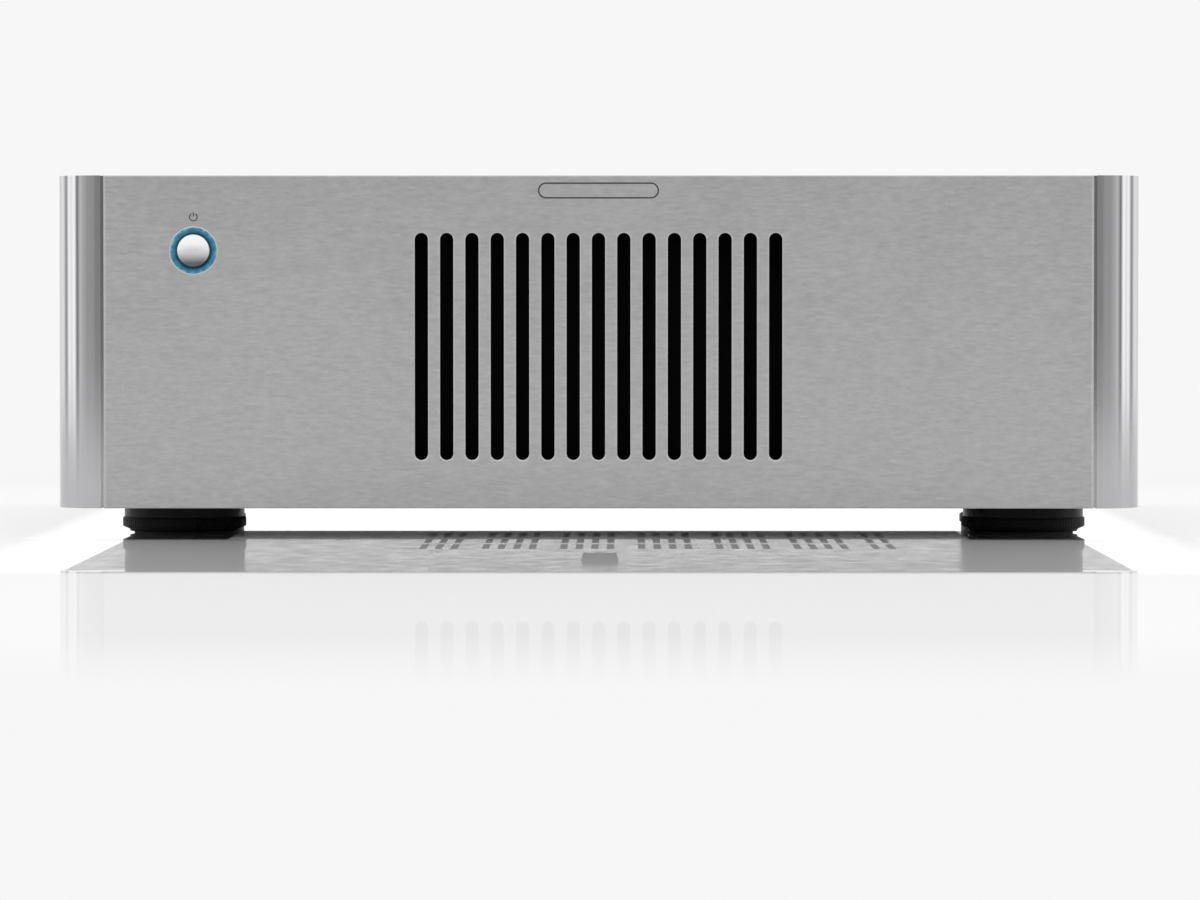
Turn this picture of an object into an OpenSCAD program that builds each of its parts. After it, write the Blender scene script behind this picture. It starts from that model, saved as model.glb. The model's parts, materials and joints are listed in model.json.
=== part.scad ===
// Two-channel power amplifier in a 3U-high hi-fi case.
// X runs to the right seen from the front, Y runs from front to back and Z is up.
// The origin is on the surface the feet stand on, in the middle of the footprint.

/* [Case] */
// Width over the two rounded end caps
overall_w = 431; // [426:1:440]
// Depth from the button's dome to the ends of the speaker posts
overall_d = 407; // [404:1:412]
// Height of the front panel, which is also the height of the case
panel_h = 132; // [130:0.1:140]
// Height of the feet under the case
foot_h = 12.7; // [12:0.1:15]
// Depth from the panel's front face to the rear panel's outer face
case_d = 379.5; // [378:0.5:382]

/* [Front panel] */
// Width of the brushed plate between the end caps
panel_w = 392.4; // [388:0.1:396]
// Thickness of the brushed plate
panel_t = 6; // [5:0.5:7]
// Number of cooling slots
slot_count = 15; // [9:2:17]
// Distance from one cooling slot to the next
slot_pitch = 10.03; // [9.5:0.01:10.5]
// Width of a cooling slot
slot_w = 5.3; // [4:0.1:5.5]
// Height of a cooling slot, round ends included
slot_h = 90.1; // [80:0.1:94]
// Height of the slots' middle above the panel's lower edge
slot_mid = 64.2; // [62:0.1:68]

/* [Power button] */
// Distance of the button to the left of the middle
button_x = 160.5; // [150:0.5:165]
// Height of the button above the panel's lower edge
button_z = 102.2; // [100:0.1:105]
// Diameter of the button
button_dia = 12.7; // [12:0.1:13]
// Outer diameter of the light ring
ring_dia = 18.6; // [17:0.1:19]
// How far the button's dome stands out of the panel
button_proud = 3; // [2.5:0.1:3.2]
// How far the button travels
button_travel = 2.5; // [1.5:0.1:2.5]

/* [Feet] */
// Distance of the front feet from the middle, left and right
foot_front_x = 172; // [160:1:186]
// How far the two front feet are set to the right
foot_front_shift = 1.7; // [0:0.1:2]
// Distance of the rear feet from the middle, left and right
foot_rear_x = 189; // [160:1:189]
// Depth of the front feet behind the panel's front face
foot_front = 75; // [65:1:110]
// Depth of the rear feet behind the panel's front face
foot_rear = 338; // [330:1:345]
// Diameter of a foot at its widest
foot_dia = 50.5; // [46:0.1:52]

/* [Cooling vents] */
// Distance from one vent slot to the next
vent_pitch = 6.8; // [6:0.1:7]
// Width of a vent slot
vent_w = 3.2; // [2.5:0.1:3.5]
// Length of a vent slot
vent_len = 46; // [40:1:48]
// Distance from one row of vents to the next
vent_row = 56; // [52:1:58]

/* [Speaker posts] */
// Distance between the two posts of a channel
post_pitch = 19.05; // [19:0.05:22]
// Diameter of a post's cap
post_cap_dia = 15; // [13:0.1:16]
// Diameter of the socket in a post's end
post_socket_dia = 4.1; // [4:0.05:4.2]

/* [Hidden] */
$fn = 48;
eps = 0.01;

// Sheet metal
cover_t = 1.2;
tray_t = 1.5;
sub_t = 1.5;
rear_t = 1.5;
bend_r = 3;

// Main planes, left to right
case_half = overall_w / 2 - 0.5;            // outer face of the top cover's side
inner_half = case_half - cover_t - 0.2;     // outer face of what the cover slips over
cap_lip = 10;                               // how far an end cap reaches in behind the brushed plate
lip_half = panel_w / 2 - cap_lip - 0.3;     // half width of the sheets' front lips, between the end caps

// Main planes, front to back
y_face = -overall_d / 2 + button_proud;     // the brushed plate's front face
y_plate = y_face + panel_t;                 // the brushed plate's back face
cap_gap = 1.3;                              // shadow groove beside the brushed plate
cap_setback = 0.3;
cap_r = (overall_w - panel_w) / 2 - cap_gap;
cap_depth = cap_setback + cap_r;            // the end caps are as deep as their corner's radius
y_sub = y_face + cap_depth;                 // the sub-panel's front face
y_box = y_sub + sub_t;                      // where the inside of the case starts
y_rear = y_face + case_d;                   // the rear panel's outer face
y_in = y_rear - rear_t;                     // the rear panel's inner face

// Main planes, bottom to top
z_bot = foot_h;
z_floor = z_bot + tray_t;                   // what the inner pieces stand on
z_top = foot_h + panel_h;
z_cover = z_top - 1;                        // outer face of the top cover
z_lid = z_cover - cover_t - 0.2;            // highest point inside the case

// Bevels of the brushed plate: shallow ones, with a drop of their own, at its sides and round its slots
side_bevel = 0.9;
side_bevel_drop = 0.35;
edge_bevel = 0.4;
slot_bevel = 0.45;
slot_bevel_drop = 0.26;

// Panel spacers: hexagonal pillars from the sub-panel to the brushed plate
spacer_af = 7;
spacer_x = [-180, -100, 100, 180];
spacer_z = [14, 118];
spacer_hole_r = 1.5;
spacer_hole_l = 6;

// Blank name bar, engraved
bar_w = 48;
bar_h = 6.4;
bar_line = 0.6;
bar_depth = 0.3;
bar_z = 126;

// Power button
dome_rise = 2.2;
button_len = 10.2;
stem_socket = 4.2;                          // depth from the dome's top to where the stem starts
stem_r = 3;
stem_in = 4;                                // how far the stem reaches into the switch
lens_r = ring_dia / 2 - 0.05;
lens_bore = button_dia / 2 + 0.3;
switch_y = y_box + 22;                      // front of the switch
switch_size = [14, 16, 14];

// Cooling vents in the top cover and the bottom plate, over and under the heat sinks
vent_first = -23.1 - 8 * vent_pitch;
vent_places = 31;
vent_blank_phase = 3;                       // every fifth place is left closed
vent_mid_d = 278;

// Screws
screw_r = 1.5;
screw_len = 7;
screw_hole_r = 1.65;
head_r = 3.4;
head_h = 2;
side_screw_d = [60, 200, 340];
side_screw_z = z_bot + 8.5;
rear_low_x = [-200, -60, 75, 200];
rear_low_z = z_bot + 7;
rear_top_x = [-195, -65, 65, 195];
rear_top_z = z_cover - 6;
flange_h = 13;

// Feet
foot_places = [[foot_front_shift - foot_front_x, foot_front], [foot_front_shift + foot_front_x, foot_front],
               [-foot_rear_x, foot_rear], [foot_rear_x, foot_rear]];
foot_r = foot_dia / 2;
pad_out_r = 20.5;
pad_in_r = 12;
pad_h = 2;
foot_screw_r = 2.4;
foot_hole_r = 2.6;
foot_well = 6.5;                            // height of the seat for a foot's screw

// Toroidal transformer
toroid_mid = [0, 106];
toroid_r = 75;
toroid_bore_r = 21;
toroid_h = 68;
toroid_wall = 9;                            // thickness of the winding around the core
toroid_pad_h = 2;
clamp_r = 56;
clamp_t = 1.5;
bolt_r = 4;

// Heat sinks, one each side of the reservoir capacitors
sink_d0 = 200;
sink_len = 148;
sink_h = 112;
sink_base = 6;
sink_fin = 46;
sink_fin_t = 1.6;
sink_fins = 15;
sink_left_x = -77;
sink_right_x = 131;

// Bridge rectifiers
rectifier = [28, 6, 28];
rectifier_z = z_floor + 30;

// Output transistors
transistor = [4.8, 15.6, 20];
transistor_count = 4;
transistor_z = z_floor + 48;
board_t = 1.6;
board_h = 92;
amp_board_y = 3;
amp_board_l = sink_len - 2 * amp_board_y;
terminal = 10;                              // size of the terminal block that the speaker lead ends in

// Reservoir capacitors and their board
can_r = 20;
can_h = 82;
can_x = [4.5, 49.5];
can_d = [246, 298];
supply_size = [92, 120];
supply_mid = [27, 274];
standoff_h = 8;
standoff_r = 3;

// Standby board
standby_size = [72, 110];
standby_mid = [150, 110];

// Leads inside the case
RIGHT = [1, 0, 0];
BACK = [0, 1, 0];
UP = [0, 0, 1];
lead_bend = 6;
toroid_lead_r = 61;                         // where the leads leave the transformer's top

// Rear connectors: each is at [x, height above the case's lower edge]
rca_at = [[182, 78], [182, 54]];
rca_r = 4.15;
rca_hole_r = 4;
rca_len = 9;
xlr_at = [[146, 66], [112, 66]];
xlr_flange = [26, 31];
xlr_flange_t = 1.8;
xlr_hole_r = 12;
xlr_cavity_r = 9.6;
xlr_insert_r = 7.9;
xlr_depth = 14;
xlr_body_d = 20;
latch_size = [7, 3.5];
latch_z = 12.4;
latch_proud = 2.2;                          // how far a latch stands out of its flange
latch_play = 0.15;
selector_at = [182, 30];
selector_window = [11, 5.2];
selector_knob_x = -2;                       // the knob's place in its window: it slides the other way
trigger_at = [[-108, 30], [-124, 30]];
trigger_r = 3;
trigger_hole_r = 3.1;
trigger_bore_r = 1.8;
inlet_at = [-172, 46];
inlet_flange = [31, 50];
inlet_body = [27.5, 44];
inlet_cavity = [24.4, 16.4];
inlet_cavity_z = -8;
inlet_flange_t = 2.5;
cavity_floor = 16.5;
pin_at = [[0, 2, 16], [-7, -2, 14], [7, -2, 14]];   // x, z and length of the earth pin and the two live pins
pin_size = [2, 4];
pin_tail = 31;                              // how far the pins reach in behind the rear panel
drawer_size = [22, 7.4];
drawer_z = 14;
drawer_depth = 22;
drawer_play = 0.1;

// Speaker posts, left channel first
post_z = 66;
post_mid_x = [45, -45];
post_x = [post_mid_x[0] + post_pitch / 2, post_mid_x[0] - post_pitch / 2,
          post_mid_x[1] + post_pitch / 2, post_mid_x[1] - post_pitch / 2];
post_base_r = 8.4;
post_base_h = 4;
post_bush_r = 4.9;
post_stud_r = 3;
post_tail = 14;
post_socket_depth = 19;
post_washer_h = 1.6;
post_end = overall_d / 2;                   // the caps end the object at the back

// A point's Y from its depth behind the panel's front face
function at_depth(d) = y_face + d;

// A rod along +Y, starting at y
module rod_y(x, y, z, r, len) {
    translate([x, y, z]) rotate([-90, 0, 0]) cylinder(r = r, h = len);
}

// A box from its lowest corner, given by two corners
module block(a, b) {
    translate(a) cube(b - a);
}

// A slot's outline with round ends, long side along the second axis
module slot_outline(w, len) {
    square([w, len - w], center = true);
    for (s = [-1, 1]) translate([0, s * (len - w) / 2]) circle(d = w);
}

// Pushes a flat outline in X and Z through a wall, from y for the length given
module through_y(y, len) {
    translate([0, y + len, 0]) rotate([90, 0, 0]) linear_extrude(len) children();
}

// The grid of vent slots, as outlines in X and Y
module vent_outlines() {
    for (row = [-1:1], i = [0:vent_places - 1])
        if (i % 5 != vent_blank_phase)
            translate([vent_first + i * vent_pitch, at_depth(vent_mid_d) + row * vent_row])
                slot_outline(vent_w, vent_len);
}

// A screw with a pan head at the origin, its shank along -Z
module pan_screw(shank_r, len, head_r, head_h) {
    translate([0, 0, -len]) cylinder(r = shank_r, h = len + eps);
    difference() {
        cylinder(r = head_r, h = head_h);
        translate([0, 0, head_h - 0.9])
            for (a = [0, 90]) rotate(a) translate([-head_r * 0.62, -0.45, 0]) cube([head_r * 1.24, 0.9, 1]);
    }
}

// ---------------------------------------------------------------- front

module slot_cutter() {
    wide = slot_w / 2 + 2 * slot_bevel;
    through_y(y_face - 1, panel_t + 2) slot_outline(slot_w, slot_h);
    for (s = [-1, 1])
        translate([0, y_face - slot_bevel_drop, s * (slot_h - slot_w) / 2]) rotate([-90, 0, 0])
            cylinder(r1 = wide, r2 = slot_w / 2, h = 2 * slot_bevel_drop);
    translate([0, 0, -(slot_h - slot_w) / 2]) linear_extrude(slot_h - slot_w)
        polygon([[-wide, y_face - slot_bevel_drop], [wide, y_face - slot_bevel_drop],
                 [slot_w / 2, y_face + slot_bevel_drop], [-slot_w / 2, y_face + slot_bevel_drop]]);
}

module name_bar_cutter() {
    through_y(y_face - 1, 1 + bar_depth) difference() {
        rotate(90) slot_outline(bar_h, bar_w);
        rotate(90) slot_outline(bar_h - 2 * bar_line, bar_w - 2 * bar_line);
    }
}

module front_panel() {
    half = panel_w / 2;
    color("silver") difference() {
        intersection() {
            translate([0, 0, z_bot]) linear_extrude(panel_h)
                polygon([[-half + side_bevel, y_face], [half - side_bevel, y_face],
                         [half, y_face + side_bevel_drop], [half, y_plate],
                         [-half, y_plate], [-half, y_face + side_bevel_drop]]);
            rotate([90, 0, 90]) linear_extrude(panel_w + 2, center = true)
                polygon([[y_face, z_bot + edge_bevel], [y_face + edge_bevel, z_bot], [y_plate, z_bot],
                         [y_plate, z_top], [y_face + edge_bevel, z_top], [y_face, z_top - edge_bevel]]);
        }
        for (i = [0:slot_count - 1])
            translate([(i - (slot_count - 1) / 2) * slot_pitch, 0, z_bot + slot_mid]) slot_cutter();
        rod_y(-button_x, y_face - 1, z_bot + button_z, ring_dia / 2, panel_t + 2);
        translate([0, 0, z_bot + bar_z]) name_bar_cutter();
    }
}

// The right end cap: a quarter-round bar with a lip that the brushed plate lies on
module end_cap() {
    x_in = panel_w / 2 + cap_gap;
    y0 = y_face + cap_setback;
    color("gainsboro") translate([0, 0, z_bot]) linear_extrude(panel_h) {
        intersection() {
            translate([x_in, y_sub]) circle(r = cap_r, $fn = 96);
            translate([x_in, y0]) square(cap_r);
        }
        translate([panel_w / 2 - cap_lip, y_plate]) square([cap_lip + cap_gap + eps, y_sub - y_plate]);
    }
}

module end_cap_right() {
    end_cap();
}

module end_cap_left() {
    mirror([1, 0, 0]) end_cap();
}

module panel_spacers() {
    color("lightgray") for (x = spacer_x, z = spacer_z)
        translate([x, y_plate, z_bot + z]) rotate([-90, 0, 0]) difference() {
            cylinder(d = spacer_af / cos(30), h = y_sub - y_plate, $fn = 6);
            translate([0, 0, -1]) cylinder(r = spacer_hole_r, h = 1 + spacer_hole_l);
        }
}

module front_subpanel() {
    window_w = slot_count * slot_pitch;
    window_h = slot_h + 4;
    color("dimgray") difference() {
        block([-inner_half, y_sub, z_floor], [inner_half, y_box, z_lid]);
        block([-window_w / 2, y_sub - 1, z_bot + slot_mid - window_h / 2],
              [window_w / 2, y_box + 1, z_bot + slot_mid + window_h / 2]);
        rod_y(-button_x, y_sub - 1, z_bot + button_z, ring_dia / 2 + 2, sub_t + 2);
    }
}

module vent_screen() {
    screen_w = slot_count * slot_pitch + 10;
    screen_h = slot_h + 12;
    screen_t = 0.6;
    color([0.03, 0.03, 0.03])
        block([-screen_w / 2, y_sub - screen_t, z_bot + slot_mid - screen_h / 2],
              [screen_w / 2, y_sub, z_bot + slot_mid + screen_h / 2]);
}

// ---------------------------------------------------------------- power button

module power_button() {
    r = button_dia / 2;
    dome_r = (r * r + dome_rise * dome_rise) / (2 * dome_rise);
    color("whitesmoke") translate([-button_x, y_face - button_proud, z_bot + button_z]) rotate([-90, 0, 0])
        difference() {
            intersection() {
                cylinder(r = r, h = button_len);
                translate([0, 0, dome_r]) sphere(r = dome_r, $fn = 96);
            }
            translate([0, 0, stem_socket]) cylinder(r = stem_r, h = button_len);
        }
}

module button_stem() {
    start = y_face - button_proud + stem_socket;
    color("dimgray") rod_y(-button_x, start, z_bot + button_z, stem_r, switch_y + stem_in - start);
}

module light_ring() {
    flange_r = lens_r + 1.6;
    bevel = 0.9;
    color("deepskyblue") difference() {
        union() {
            rod_y(-button_x, y_face, z_bot + button_z, lens_r, y_sub - 1 - y_face);
            rod_y(-button_x, y_plate, z_bot + button_z, flange_r, 1.5);
        }
        rod_y(-button_x, y_face - 1, z_bot + button_z, lens_bore, cap_depth);
        translate([-button_x, y_face - eps, z_bot + button_z]) rotate([-90, 0, 0])
            cylinder(r1 = lens_bore + bevel, r2 = lens_bore, h = bevel);
    }
}

module power_switch() {
    color("ghostwhite") difference() {
        translate([-button_x - switch_size[0] / 2, switch_y, z_bot + button_z - switch_size[2] / 2])
            cube(switch_size);
        rod_y(-button_x, switch_y - 1, z_bot + button_z, stem_r + 0.2, 1 + stem_in + button_travel + 0.5);
    }
}

// The board stands upright behind the sub-panel and carries the switch and the ring's lamps
module switch_board() {
    w = 44;
    h = 40;
    inset = 4;
    y = switch_y + switch_size[1];
    z = z_bot + button_z;
    color("darkgreen") {
        block([-button_x - w / 2, y, z - h / 2], [-button_x + w / 2, y + board_t, z + h / 2]);
        for (sx = [-1, 1], sz = [-1, 1])
            rod_y(-button_x + sx * (w / 2 - inset), y_box, z + sz * (h / 2 - inset), 2.5, y - y_box + eps);
    }
}

// ---------------------------------------------------------------- case

module bottom_plate() {
    y_back = y_in - tray_t;
    wall_x = inner_half - tray_t;
    cut = tray_t + 2;
    color("lightgray") difference() {
        union() {
            block([-inner_half, y_box, z_bot], [inner_half, y_in, z_floor]);
            block([-lip_half, y_plate + 0.2, z_bot], [lip_half, y_box + eps, z_floor]);
            block([-inner_half, y_box, z_bot], [-wall_x, y_in, z_bot + flange_h]);
            block([wall_x, y_box, z_bot], [inner_half, y_in, z_bot + flange_h]);
            block([-wall_x - eps, y_back, z_bot], [wall_x + eps, y_in, z_bot + flange_h]);
        }
        translate([0, 0, z_bot - 1]) linear_extrude(cut) vent_outlines();
        for (p = foot_places) translate([p[0], at_depth(p[1]), z_bot - 1]) cylinder(r = foot_hole_r, h = cut);
        for (d = side_screw_d)
            translate([-inner_half - 1, at_depth(d), side_screw_z]) rotate([0, 90, 0])
                cylinder(r = screw_hole_r, h = 2 * inner_half + 2);
        for (x = rear_low_x) rod_y(x, y_back - 1, rear_low_z, screw_hole_r, cut);
        translate([toroid_mid[0], at_depth(toroid_mid[1]), z_bot - 1]) cylinder(r = bolt_r + 0.2, h = cut);
    }
}

// Outline of a folded sheet's outside, in X and Z, with its two top corners rounded
module cover_outline(half, z0, z1, r) {
    translate([-half, z0]) square([2 * half, z1 - r - z0]);
    translate([-half + r, z1 - r - eps]) square([2 * (half - r), r + eps]);
    for (s = [-1, 1]) translate([s * (half - r), z1 - r]) circle(r = r);
}

module top_cover() {
    z0 = z_bot + 2;
    y0 = y_sub + 0.3;
    color("silver") difference() {
        union() {
            through_y(y0, y_rear - y0) difference() {
                cover_outline(case_half, z0, z_cover, bend_r);
                cover_outline(case_half - cover_t, z0 - 1, z_cover - cover_t, bend_r - cover_t);
            }
            block([-lip_half, y_plate + 0.2, z_cover - cover_t], [lip_half, y0 + eps, z_cover]);
            block([-case_half + 6, y_rear, z_cover - 11], [case_half - 6, y_rear + cover_t, z_cover]);
        }
        translate([0, 0, z_cover - 3]) linear_extrude(4) vent_outlines();
        for (d = side_screw_d)
            translate([-case_half - 1, at_depth(d), side_screw_z]) rotate([0, 90, 0])
                cylinder(r = screw_hole_r, h = 2 * case_half + 2);
        for (x = rear_top_x) rod_y(x, y_rear - 1, rear_top_z, screw_hole_r, 4);
    }
}

// A rectangular opening through the rear panel, from its middle and its size
module rear_window(x, z, size) {
    block([x - size[0] / 2, y_in - 1, z - size[1] / 2], [x + size[0] / 2, y_rear + 1, z + size[1] / 2]);
}

module rear_hole(x, z, r) {
    rod_y(x, y_in - 1, z, r, rear_t + 2);
}

module rear_panel() {
    color("silver") difference() {
        block([-inner_half, y_in, z_floor], [inner_half, y_rear, z_lid]);
        for (x = rear_top_x) rear_hole(x, rear_top_z, screw_hole_r);
        for (x = rear_low_x) rear_hole(x, rear_low_z, screw_hole_r);
        for (p = rca_at) rear_hole(p[0], z_bot + p[1], rca_hole_r);
        for (p = trigger_at) rear_hole(p[0], z_bot + p[1], trigger_hole_r);
        for (x = post_x) rear_hole(x, z_bot + post_z, post_bush_r + 0.05);
        for (p = xlr_at) {
            rear_hole(p[0], z_bot + p[1], xlr_hole_r);
            rear_window(p[0], z_bot + p[1] + latch_z - 1, [8.4, 7]);
        }
        rear_window(selector_at[0], z_bot + selector_at[1], selector_window);
        rear_window(inlet_at[0], z_bot + inlet_at[1], inlet_body + [0.2, 0.2]);
    }
}

module case_screws() {
    color("lightgray") {
        for (s = [-1, 1], d = side_screw_d)
            translate([s * case_half, at_depth(d), side_screw_z]) rotate([0, s * 90, 0])
                pan_screw(screw_r, screw_len, head_r, head_h);
        for (x = rear_top_x)
            translate([x, y_rear + cover_t, rear_top_z]) rotate([-90, 0, 0])
                pan_screw(screw_r, screw_len, head_r, head_h);
        for (x = rear_low_x)
            translate([x, y_rear, rear_low_z]) rotate([-90, 0, 0])
                pan_screw(screw_r, screw_len, head_r, head_h);
    }
}

// ---------------------------------------------------------------- feet

module foot(place) {
    lift = 0.8;
    well_r = 6;
    web_z = 1.6;
    neck_r = foot_r - 0.7;
    color([0.05, 0.05, 0.05]) translate([place[0], at_depth(place[1]), 0]) rotate_extrude($fn = 96)
        polygon([[foot_hole_r, foot_well], [well_r, foot_well], [well_r, web_z], [pad_in_r - 1, web_z],
                 [pad_in_r - 0.2, pad_h], [pad_out_r + 0.2, pad_h], [pad_out_r + 0.2, lift],
                 [foot_r - 3, lift], [foot_r - 2.8, web_z], [foot_r, 2.8], [foot_r, 6.2],
                 [neck_r, 6.8], [neck_r, foot_h], [foot_hole_r, foot_h]]);
}

module foot_front_left() {
    foot(foot_places[0]);
}

module foot_front_right() {
    foot(foot_places[1]);
}

module foot_rear_left() {
    foot(foot_places[2]);
}

module foot_rear_right() {
    foot(foot_places[3]);
}

module foot_pads() {
    color("black") for (p = foot_places)
        translate([p[0], at_depth(p[1]), 0]) difference() {
            cylinder(r = pad_out_r, h = pad_h, $fn = 96);
            translate([0, 0, -1]) cylinder(r = pad_in_r, h = pad_h + 2);
        }
}

module foot_screws() {
    color("gray") for (p = foot_places)
        translate([p[0], at_depth(p[1]), foot_well]) mirror([0, 0, 1])
            pan_screw(foot_screw_r, z_floor + 1 - foot_well, 4.5, 3);
}

// ---------------------------------------------------------------- power supply

module toroid_ring(r_out, r_in, z0, h) {
    translate([toroid_mid[0], at_depth(toroid_mid[1]), z0]) difference() {
        cylinder(r = r_out, h = h, $fn = 96);
        translate([0, 0, -1]) cylinder(r = r_in, h = h + 2, $fn = 96);
    }
}

// The winding wraps the core all round, with its corners rounded off by the tape
module toroid_winding() {
    z0 = z_floor + toroid_pad_h;
    r_mid = (toroid_r + toroid_bore_r) / 2;
    core_half = (toroid_r - toroid_bore_r) / 2 - toroid_wall;
    corner = 9;
    half = (toroid_r - toroid_bore_r) / 2;
    color("darkkhaki") translate([toroid_mid[0], at_depth(toroid_mid[1]), z0]) rotate_extrude($fn = 96)
        translate([r_mid, toroid_h / 2]) difference() {
            union() {
                square([2 * half, toroid_h - 2 * corner], center = true);
                square([2 * (half - corner), toroid_h], center = true);
                for (sx = [-1, 1], sz = [-1, 1])
                    translate([sx * (half - corner), sz * (toroid_h / 2 - corner)]) circle(r = corner);
            }
            square([2 * core_half, toroid_h - 2 * toroid_wall], center = true);
        }
}

module toroid_core() {
    gap = 0.1;
    color("slategray")
        toroid_ring(toroid_r - toroid_wall - gap, toroid_bore_r + toroid_wall + gap,
                    z_floor + toroid_pad_h + toroid_wall + gap, toroid_h - 2 * toroid_wall - 2 * gap);
}

module toroid_pads() {
    color("black") {
        toroid_ring(toroid_r - 9, bolt_r + 1, z_floor, toroid_pad_h);
        toroid_ring(clamp_r, bolt_r + 1, z_floor + toroid_pad_h + toroid_h, toroid_pad_h);
    }
}

module toroid_clamp_plate() {
    color("lightgray") toroid_ring(clamp_r - 2, bolt_r + 0.3, z_floor + 2 * toroid_pad_h + toroid_h, clamp_t);
}

// The bolt's low head is under the case's floor, between the feet, and its nut holds the clamp plate
module toroid_bolt() {
    nut_z = z_floor + 2 * toroid_pad_h + toroid_h + clamp_t;
    nut_h = 6;
    bolt_head_h = 3;
    color("lightgray") translate([toroid_mid[0], at_depth(toroid_mid[1]), 0]) {
        translate([0, 0, z_bot - bolt_head_h]) difference() {
            cylinder(r1 = 7, r2 = 8, h = bolt_head_h);
            translate([0, 0, -1]) cylinder(r = 3, h = 2.6, $fn = 6);
        }
        translate([0, 0, z_bot - eps]) cylinder(r = bolt_r, h = nut_z + nut_h + 3 - z_bot);
        translate([0, 0, nut_z]) cylinder(r = 7.5, h = nut_h, $fn = 6);
    }
}

module reservoir_capacitors() {
    z0 = z_floor + standoff_h + board_t;
    color("midnightblue") for (x = can_x, d = can_d)
        translate([x, at_depth(d), z0]) difference() {
            cylinder(r = can_r, h = can_h);
            translate([0, 0, can_h - 1]) cylinder(r = can_r - 3, h = 2);
        }
}

// A board lying on four standoffs, with a hole over each
module flat_board(mid, size) {
    difference() {
        translate([mid[0] - size[0] / 2, at_depth(mid[1]) - size[1] / 2, z_floor + standoff_h])
            cube([size[0], size[1], board_t]);
        at_corners(mid, size) translate([0, 0, standoff_h - 1]) cylinder(r = 1.7, h = board_t + 2);
    }
}

module at_corners(mid, size) {
    reach = size / 2 - [5, 5];
    for (sx = [-1, 1], sy = [-1, 1])
        translate([mid[0] + sx * reach[0], at_depth(mid[1]) + sy * reach[1], z_floor]) children();
}

module supply_board() {
    color("darkgreen") flat_board(supply_mid, supply_size);
}

// Two bridge rectifiers stand against the heat sinks' front ends
module rectifiers() {
    color("dimgray") for (x = [sink_left_x + 14, sink_right_x - 14 - rectifier[0]])
        translate([x, at_depth(sink_d0) - rectifier[1], rectifier_z]) cube(rectifier);
}

module standby_board() {
    color("darkgreen") flat_board(standby_mid, standby_size);
    translate([standby_mid[0], at_depth(standby_mid[1]), z_floor + standoff_h + board_t - eps]) {
        // small transformer, relay, smoothing capacitor and connector
        color("goldenrod") translate([-28, -41, 0]) cube([34, 28, 26]);
        color("royalblue") translate([14, -37, 0]) cube([13, 29, 16]);
        color("black") translate([-14, 11, 0]) cylinder(r = 8, h = 25);
        color("ivory") translate([12, 25, 0]) cube([10, 20, 11]);
    }
}

// ---------------------------------------------------------------- amplifier channels

// An upright comb: a base plate with fins, its flat side towards -X
module heat_sink() {
    pitch = (sink_len - sink_fin_t) / (sink_fins - 1);
    linear_extrude(sink_h) {
        square([sink_base, sink_len]);
        for (i = [0:sink_fins - 1])
            translate([sink_base - eps, i * pitch]) square([sink_fin + eps, sink_fin_t]);
    }
}

module heat_sink_left() {
    color("darkslategray") translate([sink_left_x, at_depth(sink_d0), z_floor]) heat_sink();
}

module heat_sink_right() {
    color("darkslategray")
        translate([sink_right_x, at_depth(sink_d0), z_floor]) mirror([1, 0, 0]) heat_sink();
}

function transistor_y(i) = at_depth(sink_d0) + sink_len * (i + 0.5) / transistor_count - transistor[1] / 2;

module output_transistors() {
    color([0.1, 0.1, 0.1]) for (i = [0:transistor_count - 1]) {
        translate([sink_left_x - transistor[0], transistor_y(i), transistor_z]) cube(transistor);
        translate([sink_right_x, transistor_y(i), transistor_z]) cube(transistor);
    }
}

// An upright board with its row of resistors, small capacitors and a relay, facing away from the heat sink
module amp_board() {
    color("darkgreen") translate([-board_t, amp_board_y, 6]) cube([board_t, amp_board_l, board_h]);
    color("green")
        translate([-board_t - terminal, amp_board_y + amp_board_l - terminal, post_z - tray_t - terminal / 2])
            cube([terminal + eps, terminal, terminal]);
    color("beige") for (i = [0:7])
        translate([-board_t - 8, 12 + i * 16, 14]) cube([8 + eps, 9, 26]);
    color("black") for (i = [0:4])
        translate([-board_t + eps, 20 + i * 26, 60]) rotate([0, -90, 0]) cylinder(r = 5, h = 12);
    color("royalblue") translate([-board_t - 15, 24, 72]) cube([15 + eps, 28, 12]);
}

module amp_board_left() {
    translate([sink_left_x - transistor[0], at_depth(sink_d0), z_floor]) amp_board();
}

module amp_board_right() {
    translate([sink_right_x + transistor[0], at_depth(sink_d0), z_floor]) mirror([1, 0, 0]) amp_board();
}

// Upright board behind the input sockets
module input_board() {
    y = y_rear - xlr_body_d;
    part = [8, 6, 12];
    color("darkgreen") block([95, y - board_t, z_bot + 18], [194, y, z_bot + 94]);
    color("beige") for (i = [0:5])
        translate([104 + i * 14, y - board_t - part[1], z_bot + 26]) cube(part + [0, eps, 0]);
}

module board_standoffs() {
    color("gold") {
        at_corners(supply_mid, supply_size) cylinder(r = standoff_r, h = standoff_h);
        at_corners(standby_mid, standby_size) cylinder(r = standoff_r, h = standoff_h);
    }
}

// Where leg n of a lead starts: each leg is [direction, straight length], with a bend before the next one
function leg_start(start, legs, n) =
    n == 0 ? start
           : leg_start(start, legs, n - 1) + legs[n - 1][0] * legs[n - 1][1]
             + (legs[n - 1][0] + legs[n][0]) * lead_bend;

// A quarter turn from heading a to heading b
module lead_turn(a, b, r) {
    n = cross(a, b);
    translate(b * lead_bend)
        multmatrix([[-b[0], a[0], n[0], 0], [-b[1], a[1], n[1], 0], [-b[2], a[2], n[2], 0], [0, 0, 0, 1]])
            rotate_extrude(angle = 90) translate([lead_bend, 0]) circle(r = r);
}

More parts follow.
